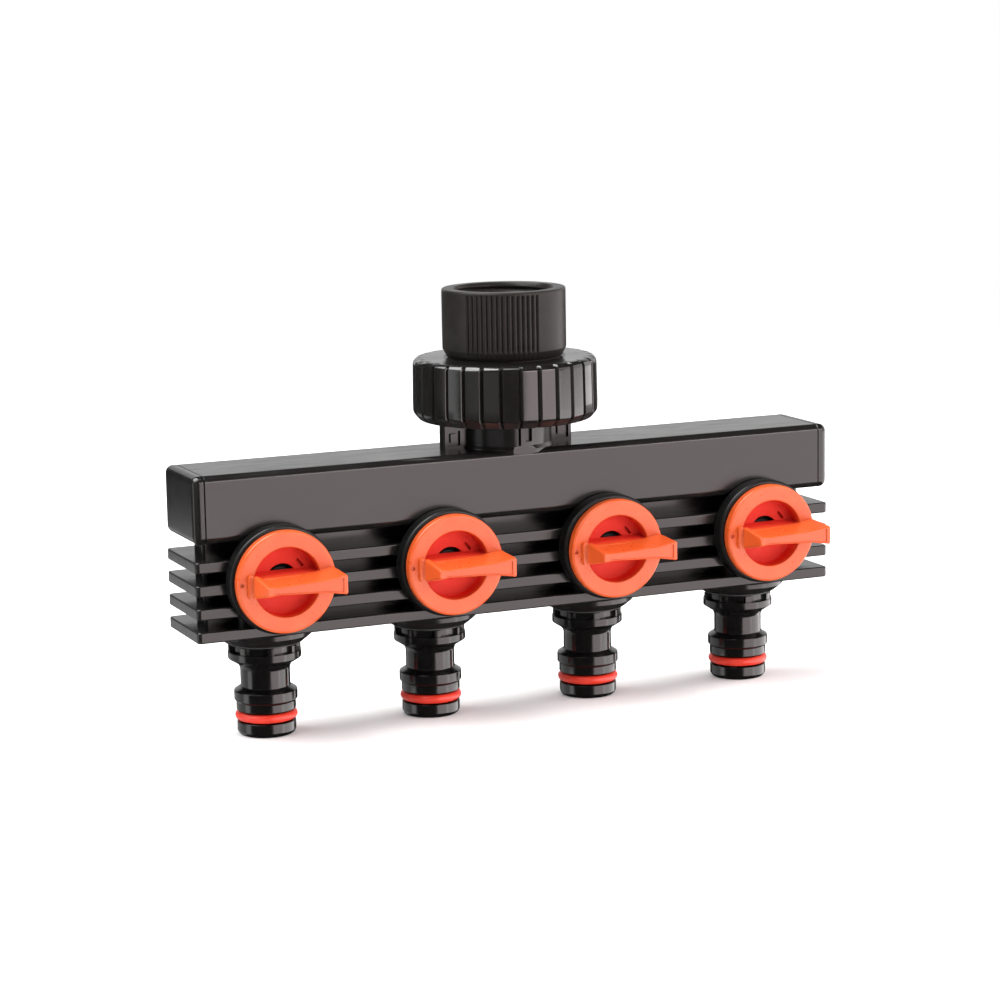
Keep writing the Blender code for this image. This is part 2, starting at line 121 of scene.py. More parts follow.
STRAIGHT = math.radians(179)                            # a corner flatter than this isn't rounded
ARC_ROOM = 0.48                                         # the share of a side that an arc may take
SHARPEST = 0.35                                         # keeps sharp corners from running away


def fillet(points, radius, steps=4, closed=False):
    """The 2D outline with its corners rounded by arcs. `radius` is one value or one a corner."""
    count = len(points)
    radii = [radius] * count if isinstance(radius, (int, float)) else radius
    made = []
    for i, point in enumerate(points):
        here = Vector(point)
        if radii[i] <= 0 or (not closed and i in (0, count - 1)):
            made.append(tuple(here))
            continue
        before = Vector(points[i - 1]) - here
        after = Vector(points[(i + 1) % count]) - here
        turn_angle = before.angle(after, math.pi)
        if turn_angle > STRAIGHT:
            made.append(tuple(here))
            continue
        room = ARC_ROOM * min(before.length, after.length)
        cut = min(radii[i] / math.tan(turn_angle / 2), room)
        arc = cut * math.tan(turn_angle / 2)
        start = here + before.normalized() * cut
        end = here + after.normalized() * cut
        middle = here + (before.normalized() + after.normalized()).normalized() * math.hypot(cut, arc)
        first, last = start - middle, end - middle
        sweep = first.angle_signed(last)
        for step in range(steps + 1):
            turned = first.copy()
            turned.rotate(Matrix.Rotation(-sweep * step / steps, 2))
            made.append(tuple(middle + turned))
    return made


def inset(points, distance):
    """A closed outline, counter-clockwise, moved inwards by `distance`."""
    moved = []
    count = len(points)
    for i in range(count):
        before, here, after = (Vector(points[i - 1]), Vector(points[i]),
                               Vector(points[(i + 1) % count]))
        first = (here - before).normalized()
        second = (after - here).normalized()
        normal_a = Vector((-first.y, first.x))
        normal_b = Vector((-second.y, second.x))
        bisector = (normal_a + normal_b).normalized()
        stretch = distance / max(bisector.dot(normal_a), SHARPEST)
        moved.append(tuple(here + bisector * stretch))
    return moved


def rounded_rectangle(half_x, half_y, radius, steps=6):
    """A rectangle's outline with round corners, counter-clockwise."""
    corners = [(half_x, half_y), (-half_x, half_y), (-half_x, -half_y), (half_x, -half_y)]
    return fillet(corners, radius, steps, closed=True)


# ---------------------------------------------------------------- meshes


def bridge(mesh, rings, closed=False):
    """Faces between neighbouring rings of the same number of vertices."""
    pairs = list(zip(rings, rings[1:]))
    if closed:
        pairs.append((rings[-1], rings[0]))
    for first, second in pairs:
        count = len(first)
        for i in range(count):
            j = (i + 1) % count
            corners = list(dict.fromkeys((first[i], first[j], second[j], second[i])))
            if len(corners) > 2:
                mesh.faces.new(corners)


def ring(mesh, radius, level, segments, wave=None):
    """Vertices round the Z axis. `wave(angle, radius, level)` may move a radius."""
    if radius < 1e-6:
        return [mesh.verts.new((0, 0, level))] * segments
    made = []
    for i in range(segments):
        angle = TAU * i / segments
        reach = wave(angle, radius, level) if wave else radius
        made.append(mesh.verts.new((reach * math.cos(angle), reach * math.sin(angle), level)))
    return made


def turned(mesh, outline, segments=64, axis="Z", centre=(0, 0, 0), closed=False, wave=None):
    """Turn (radius, height) points about an axis."""
    rings = [ring(mesh, radius, level, segments, wave) for radius, level in outline]
    bridge(mesh, rings, closed)
    if not closed:
        for end in (rings[0], rings[-1]):
            if len(set(end)) > 2:
                mesh.faces.new(end)
    made = list({vert for row in rings for vert in row})
    if axis == "Y":
        bmesh.ops.rotate(mesh, cent=(0, 0, 0), verts=made,
                         matrix=Matrix(((1, 0, 0), (0, 0, 1), (0, -1, 0))))
    bmesh.ops.translate(mesh, vec=Vector(centre), verts=made)
    return made


def stack(mesh, levels, place):
    """A closed solid through outlines: `levels` is (height, outline), `place` maps (u, v, height)."""
    rings = [[mesh.verts.new(place(u, v, level)) for u, v in outline] for level, outline in levels]
    bridge(mesh, rings)
    mesh.faces.new(rings[0])
    mesh.faces.new(rings[-1])


def soft_prism(mesh, outline, low, high, edge, place, steps=4, soft_low=True, soft_high=True):
    """An outline pushed from `low` to `high`, with its end edges rounded by `edge`."""
    levels = []
    angles = [math.pi / 2 * step / steps for step in range(steps + 1)]
    if soft_low:
        levels += [(low + edge * (1 - math.sin(a)), inset(outline, edge * (1 - math.cos(a))))
                   for a in reversed(angles)]
    else:
        levels.append((low, outline))
    if soft_high:
        levels += [(high - edge * (1 - math.sin(a)), inset(outline, edge * (1 - math.cos(a))))
                   for a in angles]
    else:
        levels.append((high, outline))
    stack(mesh, levels, place)


def up(u, v, level):
    """Outline in X and Y, pushed along Z."""
    return (u, v, level)


def along(u, v, level):
    """Outline in Y and Z, pushed along X."""
    return (level, u, v)


def forward(u, v, level):
    """Outline in X and Z, pushed along Y."""
    return (u, level, v)


def finish_mesh(name, mesh, angle=32):
    """A new object from a bmesh in millimetres, outward normals, smooth with sharp edges kept."""
    bmesh.ops.remove_doubles(mesh, verts=mesh.verts, dist=1e-5)
    bmesh.ops.recalc_face_normals(mesh, faces=mesh.faces)
    bmesh.ops.scale(mesh, vec=(MM, MM, MM), verts=mesh.verts)
    data = bpy.data.meshes.new(name)
    mesh.to_mesh(data)
    mesh.free()
    smooth(data, angle)
    thing = bpy.data.objects.new(name, data)
    bpy.context.scene.collection.objects.link(thing)
    return thing


def smooth(data, angle):
    """Smooth shading, with edges sharper than `angle` degrees kept sharp."""
    data.shade_smooth()
    data.set_sharp_from_angle(angle=math.radians(angle))


def combine(target, tools, angle=32):
    """Apply (operation, bmesh in millimetres) Booleans to a target object, one after another."""
    helpers = []
    for number, (operation, mesh) in enumerate(tools):
        helper = finish_mesh(f"{target.name}_tool_{number}", mesh)
        helper.hide_render = True
        helpers.append(helper)
        step = target.modifiers.new(f"step_{number}", "BOOLEAN")
        step.operation = operation
        step.solver = "EXACT"
        step.object = helper
    bpy.context.view_layer.update()
    graph = bpy.context.evaluated_depsgraph_get()
    result = bpy.data.meshes.new_from_object(target.evaluated_get(graph))
    target.modifiers.clear()
    target.data = result
    for helper in helpers:
        bpy.data.objects.remove(helper, do_unlink=True)
    tidy = bmesh.new()
    tidy.from_mesh(result)
    bmesh.ops.remove_doubles(tidy, verts=tidy.verts, dist=2e-6)
    bmesh.ops.dissolve_degenerate(tidy, dist=2e-6, edges=tidy.edges)
    tidy.to_mesh(result)
    tidy.free()
    smooth(result, angle)
    weigh(target)


def weigh(thing):
    """Shade by the larger faces, so that flat faces stay flat up to their rounded edges."""
    step = thing.modifiers.new("weighted_normals", "WEIGHTED_NORMAL")
    step.keep_sharp = True
    step.weight = 80


def settle(thing, body, slot, finish, *nodes):
    """Give a piece its material, let it ride on a body and stand for CAD nodes; `slot` is not used."""
    thing.data.materials.clear()
    thing.data.materials.append(finish)
    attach(thing, body)
    if nodes:
        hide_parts(*nodes)
    return thing


# ---------------------------------------------------------------- materials


class Nodes:
    """A small helper that builds one Principled material's node tree."""

    def __init__(self, name, colour, roughness, **sockets):
        self.material = bpy.data.materials.new(name)
        self.material.use_nodes = True
        self.tree = self.material.node_tree
        self.shader = self.tree.nodes["Principled BSDF"]
        self.shader.inputs["Base Color"].default_value = (*colour, 1)
        self.shader.inputs["Roughness"].default_value = roughness
        for socket, value in sockets.items():
            self.shader.inputs[socket.replace("_", " ")].default_value = value
        self.place = self.add("ShaderNodeTexCoord").outputs["Object"]

    def add(self, kind, **settings):
        """A new node with its properties set."""
        node = self.tree.nodes.new(kind)
        for key, value in settings.items():
            setattr(node, key, value)
        return node

    def join(self, source, target):
        """Link an output to an input."""
        self.tree.links.new(source, target)

    def noise(self, scale, detail=4.0, stretch=(1, 1, 1), roughness=0.5):
        """Noise over the object's own coordinates, `scale` cells to the metre."""
        mapping = self.add("ShaderNodeMapping")
        mapping.inputs["Scale"].default_value = stretch
        self.join(self.place, mapping.inputs["Vector"])
        node = self.add("ShaderNodeTexNoise")
        node.inputs["Scale"].default_value = scale
        node.inputs["Detail"].default_value = detail
        node.inputs["Roughness"].default_value = roughness
        self.join(mapping.outputs["Vector"], node.inputs["Vector"])
        return node.outputs["Fac"]

    def remap(self, value, low, high, to_low, to_high):
        """A value's range moved to another one, and held inside it."""
        node = self.add("ShaderNodeMapRange")
        for socket, number in zip(("From Min", "From Max", "To Min", "To Max"),
                                  (low, high, to_low, to_high)):
            node.inputs[socket].default_value = number
        self.join(value, node.inputs["Value"])
        return node.outputs["Result"]

    def mix(self, factor, first, second):
        """Mix two colours, each a tuple or a socket."""
        node = self.add("ShaderNodeMix", data_type="RGBA")
        self.join(factor, node.inputs["Factor"])
        for value, socket in ((first, node.inputs[6]), (second, node.inputs[7])):
            if isinstance(value, tuple):
                socket.default_value = (*value, 1)
            else:
                self.join(value, socket)
        return node.outputs[2]

    def maths(self, operation, first, second):
        """A sum, product or root of values, each a number or a socket."""
        node = self.add("ShaderNodeMath", operation=operation)
        for value, socket in ((first, node.inputs[0]), (second, node.inputs[1])):
            if isinstance(value, (int, float)):
                socket.default_value = value
            else:
                self.join(value, socket)
        return node.outputs[0]

    def bump(self, value, distance, strength, below=None):
        """A bumped normal, over another one where `below` is given."""
        node = self.add("ShaderNodeBump")
        node.inputs["Distance"].default_value = distance
        node.inputs["Strength"].default_value = strength
        self.join(value, node.inputs["Height"])
        if below is not None:
            self.join(below, node.inputs["Normal"])
        return node.outputs["Normal"]


def moulded_black(name, colour, roughness, grain=0.5, gloss_swing=0.04, index=1.50, dull_below=None):
    """Black moulded plastic: spark-eroded grain, faint flow marks, handling scuffs and dust.

    `dull_below` is a level, in the piece's own Z, under which the surface is duller.
    """
    made = Nodes(name, colour, roughness, IOR=index)
    broad = made.noise(30.0, 3.0)
    scuffs = made.noise(260.0, 6.0, stretch=(0.35, 1.0, 1.0), roughness=0.6)
    specks = made.noise(2600.0, 2.0)
    dusty = made.remap(made.maths("MULTIPLY", broad, scuffs), 0.22, 0.42, 0.0, 0.25)
    lighter = tuple(min(1.0, value * 1.8 + 0.004) for value in colour)
    made.join(made.mix(dusty, colour, lighter), made.shader.inputs["Base Color"])
    worn = made.remap(scuffs, 0.35, 0.7, -gloss_swing, gloss_swing)
    flow = made.remap(broad, 0.3, 0.7, roughness - 0.03, roughness + 0.03)
    gloss = made.maths("ADD", flow, worn)
    if dull_below is not None:
        parts = made.add("ShaderNodeSeparateXYZ")
        made.join(made.place, parts.inputs[0])
        dull = made.remap(parts.outputs["Z"], dull_below * MM, (dull_below + 1.5) * MM, 0.35, 0.0)
        gloss = made.maths("ADD", gloss, dull)
    made.join(gloss, made.shader.inputs["Roughness"])
    ripple = made.bump(broad, 0.0004, 0.08)
    made.join(made.bump(specks, 0.00003, grain, ripple), made.shader.inputs["Normal"])
    return made.material


def rubber(name, colour, roughness):
    """Rubber: matt, softly mottled, with a fine moulded skin."""
    made = Nodes(name, colour, roughness, IOR=1.48)
    mottled = made.noise(300.0, 4.0)
    skin = made.noise(3200.0, 2.0)
    paler = tuple(min(1.0, value * 1.18 + 0.006) for value in colour)
    made.join(made.mix(made.remap(mottled, 0.35, 0.7, 0.0, 0.8), colour, paler),
              made.shader.inputs["Base Color"])
    made.join(made.remap(mottled, 0.3, 0.7, roughness - 0.06, roughness + 0.08),
              made.shader.inputs["Roughness"])
    made.join(made.bump(skin, 0.00003, 0.5), made.shader.inputs["Normal"])
    return made.material


def knob_orange():
    """Orange plastic, yellower on the handle, duller down in the recess, where a redder colour is
    painted shade.
    """
    made = Nodes("knob_orange", ORANGE, 0.34, IOR=1.49)
    parts = made.add("ShaderNodeSeparateXYZ")
    made.join(made.place, parts.inputs[0])
    square = made.maths("ADD", made.maths("MULTIPLY", parts.outputs["X"], parts.outputs["X"]),
                        made.maths("MULTIPLY", parts.outputs["Z"], parts.outputs["Z"]))
    radius = made.maths("SQRT", square, 0.0)
    # the recess mask: where the redder colour of painted shade goes, and where the surface is duller
    deep = made.remap(parts.outputs["Y"], (RIM_Y - 1.0) * MM, (RIM_Y + 2.2) * MM, 0.0, 1.0)
    inner = made.remap(radius, (RECESS_RADIUS + 0.1) * MM, (RECESS_RADIUS - 0.1) * MM, 0.0, 1.0)
    recess = made.maths("MULTIPLY", deep, inner)
    raised = made.remap(parts.outputs["Y"], (RIM_Y - 0.5) * MM, (RIM_Y - 7.0) * MM, 0.0, 1.0)
    mottled = made.noise(240.0, 4.0)
    scuffs = made.noise(900.0, 5.0, stretch=(1.0, 0.3, 1.0), roughness=0.65)
    body = made.mix(made.remap(mottled, 0.3, 0.7, 0.0, 1.0), ORANGE, ORANGE_PALE)
    body = made.mix(raised, body, ORANGE_WARM)
    # painted shade: the recess's floor and walls take a deeper red colour
    body = made.mix(recess, body, ORANGE_RECESS_SHADE)
    made.join(body, made.shader.inputs["Base Color"])
    gloss = made.remap(scuffs, 0.35, 0.75, 0.27, 0.42)
    dull = made.maths("MULTIPLY", recess, 0.42)
    made.join(made.maths("ADD", gloss, dull), made.shader.inputs["Roughness"])
    ripple = made.bump(mottled, 0.0002, 0.12)
    made.join(made.bump(scuffs, 0.00002, 0.25, ripple), made.shader.inputs["Normal"])
    return made.material


def floor_paper():
    """Pale backdrop paper that fades out to the surroundings at its edge."""
    made = Nodes("floor_paper", (0.86, 0.86, 0.86), 0.75, IOR=1.3)
    fibres = made.noise(900.0, 3.0)
    made.join(made.mix(fibres, (0.85, 0.85, 0.85), (0.88, 0.88, 0.88)),
              made.shader.inputs["Base Color"])
    length = made.add("ShaderNodeVectorMath", operation="LENGTH")
    made.join(made.place, length.inputs[0])
    edge = made.add("ShaderNodeMapRange", interpolation_type="SMOOTHERSTEP")
    for socket, value in (("From Min", FLOOR_SOLID), ("From Max", FLOOR_EDGE),
                          ("To Min", 1.0), ("To Max", 0.0)):
        edge.inputs[socket].default_value = value
    made.join(length.outputs["Value"], edge.inputs["Value"])
    made.join(edge.outputs["Result"], made.shader.inputs["Alpha"])
    return made.material


# ---------------------------------------------------------------- colours and finishes

ORANGE = (0.50, 0.066, 0.011)
ORANGE_PALE = (0.54, 0.082, 0.016)
ORANGE_WARM = (0.52, 0.068, 0.012)
# a deeper red that is painted shade down in the knob's recess
ORANGE_RECESS_SHADE = (0.62, 0.019, 0.006)
FLOOR_SOLID, FLOOR_EDGE = 0.30, 1.2                     # where the paper starts and stops fading, in m

BODY_BLACK = moulded_black("body_black", (0.0070, 0.0064, 0.0062), 0.21, 0.30)
CAP_BLACK = moulded_black("cap_black", (0.0060, 0.0056, 0.0054), 0.20, 0.35)
NUT_BLACK = moulded_black("nut_black", (0.0060, 0.0056, 0.0052), 0.18, 0.20, 0.03, 1.62,
                          NUT_LOW.z + 0.8)
ADAPTOR_BLACK = moulded_black("adaptor_black", (0.0140, 0.0126, 0.0114), 0.34, 0.35, 0.05, 1.26)
SPIGOT_BLACK = moulded_black("spigot_black", (0.0030, 0.0028, 0.0027), 0.18, 0.20, 0.03, 1.54)
COLLAR_BLACK = moulded_black("collar_black", (0.0050, 0.0050, 0.0048), 0.38, 0.35, 0.04, 1.40)
VALVE_BLACK = moulded_black("valve_black", (0.0030, 0.0030, 0.0030), 0.55, 0.25, 0.04, 1.35)
RING_WHITE = rubber("ring_natural", (0.72, 0.71, 0.66), 0.42)
ORING_RED = rubber("oring_red", (0.60, 0.030, 0.014), 0.34)
SEAL_BLACK = rubber("seal_black", (0.030, 0.030, 0.030), 0.55)
KNOB_ORANGE = knob_orange()
PAPER = floor_paper()


# ---------------------------------------------------------------- body, caps and neck


def at(outline, across, level):
    """An outline moved in its own plane."""
    return [(u + across, v + level) for u, v in outline]


def beam_outline():
    """The beam's cross section, in Y and Z."""
    outline = rounded_rectangle(HALF_DEPTH, (BEAM_TOP - BEAM_BOTTOM) / 2, BEAM_EDGE, 8)
    return at(outline, 0, BEAM_MIDDLE)


def fins_and_web():
    """Tools that add the web under the beam and the fins round it."""
    web = bmesh.new()
    outline = rounded_rectangle(86.0, 3.5, 1.0)
    stack(web, [(FIN_TOP - (FINS - 1) * FIN_PITCH - 1, outline), (BEAM_BOTTOM + 1, outline)], up)
    tools = [("UNION", web)]
    plan = rounded_rectangle(HALF_LENGTH, HALF_DEPTH, 1.1)
    for number in range(FINS):
        fin = bmesh.new()
        top = FIN_TOP - number * FIN_PITCH
        soft_prism(fin, plan, top - FIN_THICKNESS, top, FIN_EDGE, up, 3)
        tools.append(("UNION", fin))
    return tools


def barrels_and_bosses():
    """Tools that add the four tap barrels and, below them, the outlet bosses."""
    front = -HALF_DEPTH - 0.1
    barrel = fillet([(0, front), (BARREL_RADIUS, front), (BARREL_RADIUS, BARREL_BACK),
                     (0, BARREL_BACK)], 0.5)
    boss = fillet([(0, height(24.5)), (10.2, height(24.5)), (12.4, height(26.3)),
                   (12.4, height(27.8)), (9.4, height(28.8)), (9.4, TAP_Z - 8), (0, TAP_Z - 8)], 0.45)
    barrels, bosses = bmesh.new(), bmesh.new()
    for _, tap in TAPS:
        turned(barrels, barrel, 72, "Y", (tap.x, 0, tap.z))
        turned(bosses, boss, 72, centre=(tap.x, 0, 0))
    return [("UNION", barrels), ("UNION", bosses)]


LUG_MIDDLE = 13.2                                       # where a lug's plate has its middle, in X
WINDOW_HEIGHT = height(72.9)


def lug(side):
    """Tools that add one lug beside the neck, with a sunk window and a pad on both faces."""
    plate = bmesh.new()
    outline = at(rounded_rectangle(LUG_REACH - LUG_MIDDLE, LUG_HALF, 0.55, 4), side * LUG_MIDDLE, 0)
    soft_prism(plate, outline, BEAM_TOP - 1.0, LUG_TOP, 0.3, up, 3, soft_low=False)
    tools = [("UNION", plate)]
    for facing in (-1, 1):
        window = bmesh.new()
        outline = at(rounded_rectangle(1.9, 2.0, 0.3, 3), side * 15.6, WINDOW_HEIGHT)
        stack(window, [(facing * 0.7, outline), (facing * 2.0, outline)], forward)
        tools.append(("DIFFERENCE", window))
        pad = bmesh.new()
        outline = at(rounded_rectangle(0.95, 1.2, 0.3, 3), side * 15.4, WINDOW_HEIGHT)
        stack(pad, [(facing * 0.5, outline), (facing * 1.35, outline)], forward)
        tools.append(("UNION", pad))
    return tools


def neck_moulding():
    """The neck with its lugs and two front notches, as a bmesh in millimetres."""
    foot = NECK_RADIUS + NECK_FLARE
    neck = bmesh.new()
    outline = [(0, BEAM_TOP - 1.2), (foot, BEAM_TOP - 1.2), (foot, BEAM_TOP + 0.1),
               (NECK_RADIUS, BEAM_TOP + 1.0), (NECK_RADIUS, GROOVE_BOTTOM),
               (GROOVE_RADIUS, GROOVE_BOTTOM), (GROOVE_RADIUS, GROOVE_TOP),
               (NECK_RADIUS, GROOVE_TOP), (NECK_RADIUS, NECK_TOP), (0, NECK_TOP)]
    turned(neck, fillet(outline, 0.35, 3), 96)
    trim = bmesh.new()
    outline = rounded_rectangle(30, HALF_DEPTH - 0.02, 0.5)
    stack(trim, [(BEAM_TOP - 1.6, outline), (NUT_HIGH.z, outline)], up)
    tools = [("INTERSECT", trim)] + lug(-1) + lug(1)
    for middle, half, low in ((-1.3, 0.35, 71.2), (1.3, 0.95, 72.2)):
        notch = bmesh.new()
        outline = at(rounded_rectangle(half, 3.0, 0.3, 3), middle, height(low + 3.0))
        stack(notch, [(-NECK_RADIUS - 1, outline), (-NECK_RADIUS + 1.3, outline)], forward)
        tools.append(("DIFFERENCE", notch))
    stock = finish_mesh("neck_stock", neck)
    combine(stock, tools)
    made = bmesh.new()
    made.from_mesh(stock.data)
    bmesh.ops.scale(made, vec=(1 / MM, 1 / MM, 1 / MM), verts=made.verts)
    bpy.data.objects.remove(stock, do_unlink=True)
    return made


def rod(mesh, radius, low, high, segments, axis="Z", centre=(0, 0, 0)):
    """A plain cylinder between two stations along its axis."""
    turned(mesh, [(0, low), (radius, low), (radius, high), (0, high)], segments, axis, centre)


def water_ways():
    """Tools that cut the beam's channel, the inlet and every tap's bore, port, socket and seat."""
    channel = bmesh.new()
    section = at(rounded_rectangle(9.8, 6.3, 0.8), 0, BEAM_MIDDLE)
    stack(channel, [(-HALF_LENGTH, section), (HALF_LENGTH, section)], along)
    inlet = bmesh.new()
    outline = [(0, BEAM_TOP - 4), (NECK_BORE, BEAM_TOP - 4), (NECK_BORE, height(83.4)),
               (9.6, height(84.6)), (0, height(84.6))]
    turned(inlet, outline, 64)
    bores, ports, sockets, seats = (bmesh.new() for _ in range(4))
    for _, tap in TAPS:
        below = (tap.x, 0, 0)
        rod(bores, BARREL_BORE, -HALF_DEPTH - 1, BARREL_FLOOR, 64, "Y", (tap.x, 0, tap.z))
        rod(ports, PORT_RADIUS, SOCKET_TOP - 1, BEAM_BOTTOM + 3.4, 36, centre=below)
        rod(sockets, SOCKET_RADIUS, height(23.5), SOCKET_TOP, 64, centre=below)
        rod(seats, 5.9, TAP_Z, height(52.7), 48, centre=below)
    return [("DIFFERENCE", mesh) for mesh in (channel, inlet, bores, ports, sockets, seats)]


def manifold_body():
    """Beam, web, fins, barrels, bosses and neck in one moulding, with its water ways cut."""
    inner = HALF_LENGTH - CAP_THICKNESS - CAP_SEAM
    beam = bmesh.new()
    soft_prism(beam, beam_outline(), -inner, inner, SEAM_EDGE, along, 2)
    thing = finish_mesh("manifold_moulding", beam)
    tools = fins_and_web() + barrels_and_bosses() + [("UNION", neck_moulding())] + water_ways()
    combine(thing, tools)
    housings = [f"tap_housing_{number}" for number, _ in TAPS]
    banks = [f"fin_bank_{number}" for number in range(1, len(TAPS) + 2)]
    settle(thing, "manifold", "body_plastic", BODY_BLACK, "manifold_beam", "manifold_neck",
           *housings, *banks)


def end_caps():
    """The two welded caps, a rounded plate outside and a plug inside the channel."""
    plug = at(rounded_rectangle(9.5, 6.0, 0.7), 0, BEAM_MIDDLE)
    inner = HALF_LENGTH - CAP_THICKNESS
    outline = beam_outline()
    radius = BEAM_EDGE - 0.1
    steps = 8
    levels = [(inner + CAP_SEAM, inset(outline, SEAM_EDGE)), (inner + CAP_SEAM + SEAM_EDGE, outline)]
    for step in range(steps + 1):
        angle = math.pi / 2 * step / steps
        levels.append((HALF_LENGTH - radius * (1 - math.sin(angle)),
                       inset(outline, radius * (1 - math.cos(angle)))))
    for side, name in ((-1, "end_cap_left"), (1, "end_cap_right")):
        plate = bmesh.new()
        stack(plate, [(side * x, points) for x, points in levels], along)
        inside = bmesh.new()
        stack(inside, [(side * (inner - 5), plug), (side * (inner + 1), plug)], along)
        thing = finish_mesh(name + "_cover", plate)
        combine(thing, [("UNION", inside)])
        settle(thing, "manifold", "body_plastic", CAP_BLACK, name)


# ---------------------------------------------------------------- inlet

NUT_RIBS = 30
RIB_SAMPLES = 24
NUT_TURN = math.radians(8)
NUT_CORE = 20.6                                         # the nut is plain inside this radius
LAND_FLATNESS = 0.3                                     # 1 is a flat land, 0 a round one
GROOVE_SHARE = 0.125                                    # half a groove, as a share of the pitch
GROOVE_DEPTH = 1.0


def union_nut():
    """The swivel nut: thirty flat lands with narrow grooves, notched where they meet the top."""
    pitch = TAU / NUT_RIBS

    def ribs(angle, radius, _level):
        if radius < NUT_CORE + 0.1:
            return radius
        share = (angle + NUT_TURN) / pitch % 1.0 - 0.5
        flat = math.cos(pitch / 2) / math.cos(share * pitch)
        land = radius * (flat * LAND_FLATNESS + 1 - LAND_FLATNESS) + 0.04
        past = (abs(share) - 0.5 + GROOVE_SHARE) / GROOVE_SHARE
        if past <= 0:
            return land
        return land - GROOVE_DEPTH * (0.5 - 0.5 * math.cos(math.pi * past))

    low, high = NUT_LOW.z, NUT_HIGH.z
    outside = fillet([(NUT_CORE, low), (22.6, low), (24.3, low + 2.0), (24.35, low + 4.5),
                      (24.15, high), (NUT_CORE, high)], [0, 1.3, 1.8, 0.5, 2.3, 0], 7)
    inside = fillet([(NUT_CORE, high), (NUT_THREAD + 0.8, high), (NUT_THREAD, high - 0.8),
                     (NUT_THREAD, low + 2.6), (12.5, low + 2.6), (12.5, low), (NUT_CORE, low)], 0.25, 2)
    mesh = bmesh.new()
    turned(mesh, outside + inside[1:-1], NUT_RIBS * RIB_SAMPLES, closed=True, wave=ribs)
    thing = finish_mesh("union_nut_ribbed", mesh)
    weigh(thing)
    settle(thing, "swivel_nut", "nut_plastic", NUT_BLACK, "union_nut")


FINE_RIBS = 75
RIBBED_HALF = math.radians(36)
RIBBED_FRONT = math.radians(-26 - 90)                   # middle of the ribbed sector
RIB_LOW, RIB_HIGH = height(95.2), ADAPTOR_HIGH.z - 0.75
RIB_TOE, RIB_HEAD = 1.6, 0.3                            # run-outs at the ribs' two ends
RIB_DEPTH, RIB_FLAT = 0.6, 0.35                         # a rib's depth and the share of it that is full
THREAD_PITCH, THREAD_DEPTH = 1.814, 1.0
THREAD_TOP = ADAPTOR_HIGH.z - 0.7
LEVELS_A_TURN = 10
OUTSIDE_SEGMENTS, MOUTH_SEGMENTS = FINE_RIBS * 8, 120


def adaptor_ribs(angle, radius, level):
    """Fine grooves between ribs, in a sector at the front and one at the back."""
    if radius < 15.4 or level < RIB_LOW or level > RIB_HIGH:
        return radius
    facing = min(abs((angle - centre + math.pi) % TAU - math.pi)
                 for centre in (RIBBED_FRONT, RIBBED_FRONT + math.pi))
    if facing > RIBBED_HALF:
        return radius
    share = abs(angle * FINE_RIBS / TAU % 1.0 - 0.5) * 2
    ramp = max(0.0, min(1.0, (level - RIB_LOW) / RIB_TOE, (RIB_HIGH - level) / RIB_HEAD))
    return radius - RIB_DEPTH * ramp * max(0.0, (share - RIB_FLAT) / (1 - RIB_FLAT)) ** 1.3


def thread(angle, radius, level):
    """Crests that climb one pitch a turn, fade at both ends and leave a lip at the top."""
    below, above = level - MOUTH_FLOOR, THREAD_TOP - level
    crest = 0.5 - 0.5 * math.cos(TAU * below / THREAD_PITCH - angle)
    fade = max(0.0, min(1.0, below / 1.6, above / 1.2))
    lip = 0.35 * max(0.0, 1 - above)
    return radius - lip - THREAD_DEPTH * fade * crest ** 0.8


def adaptor_outline():
    """The adaptor's outside from bottom to top, with extra levels where the ribs run out."""
    low, top = ADAPTOR_LOW.z, ADAPTOR_HIGH.z
    outline = fillet([(14.1, low), (14.9, low + 0.8), (14.9, height(93.95)), (15.3, height(94.0)),
                      (ADAPTOR_RADIUS, height(96.0)), (ADAPTOR_RADIUS, top), (14.0, top)],
                     [0, 0.3, 0.2, 0.2, 0.9, 0.5, 0], 5)
    marks = [(ADAPTOR_RADIUS, mark) for mark in (RIB_LOW + RIB_TOE, RIB_HIGH - RIB_HEAD, RIB_HIGH)]
    straight = [i for i, (first, second) in enumerate(zip(outline, outline[1:]))
                if first[0] > 16 and second[1] - first[1] > 5]
    return outline[:straight[0] + 1] + marks + outline[straight[0] + 1:]


def inlet_adaptor():
    """The adaptor: fine ribs in two sectors outside and a real 3/4 inch thread in the mouth."""
    low, top = ADAPTOR_LOW.z, ADAPTOR_HIGH.z
    mesh = bmesh.new()
    outside = [ring(mesh, radius, level, OUTSIDE_SEGMENTS, adaptor_ribs)
               for radius, level in adaptor_outline()]
    steps = int((THREAD_TOP - MOUTH_FLOOR) / THREAD_PITCH * LEVELS_A_TURN)
    inside = [ring(mesh, NECK_BORE, level, MOUTH_SEGMENTS) for level in (low, MOUTH_FLOOR)]
    for step in range(steps + 1):
        level = MOUTH_FLOOR + (THREAD_TOP - MOUTH_FLOOR) * step / steps
        inside.append(ring(mesh, MOUTH_RADIUS + 0.05, level, MOUTH_SEGMENTS, thread))
    inside.append(ring(mesh, MOUTH_RADIUS - 0.10, top - 0.25, MOUTH_SEGMENTS))
    inside.append(ring(mesh, MOUTH_RADIUS + 0.10, top, MOUTH_SEGMENTS))
    bridge(mesh, outside)
    bridge(mesh, inside)
    ratio = OUTSIDE_SEGMENTS // MOUTH_SEGMENTS
    for outer, inner in ((outside[0], inside[0]), (outside[-1], inside[-1])):
        for i in range(MOUTH_SEGMENTS):
            arc = [outer[(i * ratio + step) % OUTSIDE_SEGMENTS] for step in range(ratio + 1)]
            mesh.faces.new([inner[i]] + arc + [inner[(i + 1) % MOUTH_SEGMENTS]])
    thing = finish_mesh("inlet_adaptor_threaded", mesh)
    weigh(thing)
    settle(thing, "adaptor", "adaptor_plastic", ADAPTOR_BLACK, "inlet_adaptor")


